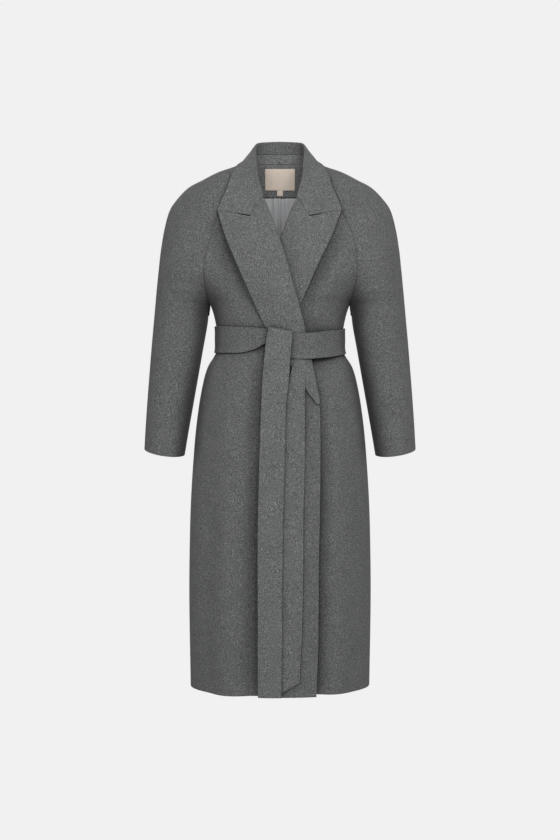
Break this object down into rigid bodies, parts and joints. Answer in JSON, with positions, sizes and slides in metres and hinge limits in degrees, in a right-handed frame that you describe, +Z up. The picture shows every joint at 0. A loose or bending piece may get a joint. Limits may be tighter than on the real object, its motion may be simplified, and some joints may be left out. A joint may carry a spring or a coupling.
{
  "type": "wrap coat",
  "caption": "Long belted wool wrap coat with raglan sleeves, notched peak lapels and a turned-down collar, worn and filled out, hollow and open at neck, cuffs and hem",
  "frame": {"origin": "middle of the neck, level with where the collar leaves the shoulders", "axes": "+Z up, the front faces -Y, the wearer's left is +X"},
  "size_m": [0.5934, 0.3115, 1.2086],
  "materials": {
    "wool": "matte grey melange wool coating",
    "lining_satin": "grey satin with a soft sheen",
    "label_satin": "beige woven satin, bare"
  },
  "bodies": {
    "root": {"back": "wool", "front_right": "wool", "front_left": "wool", "sleeve_right": "wool", "sleeve_left": "wool", "lapel_right": "wool", "lapel_left": "wool", "collar": "wool", "collar_stand": "wool", "neck_facing": "wool", "back_lining": "lining_satin", "neck_label": "label_satin", "size_tab": "label_satin", "belt_band": "wool", "belt_knot": "wool", "belt_tail_front": "wool", "belt_tail_back": "wool"}
  },
  "joints": []
}
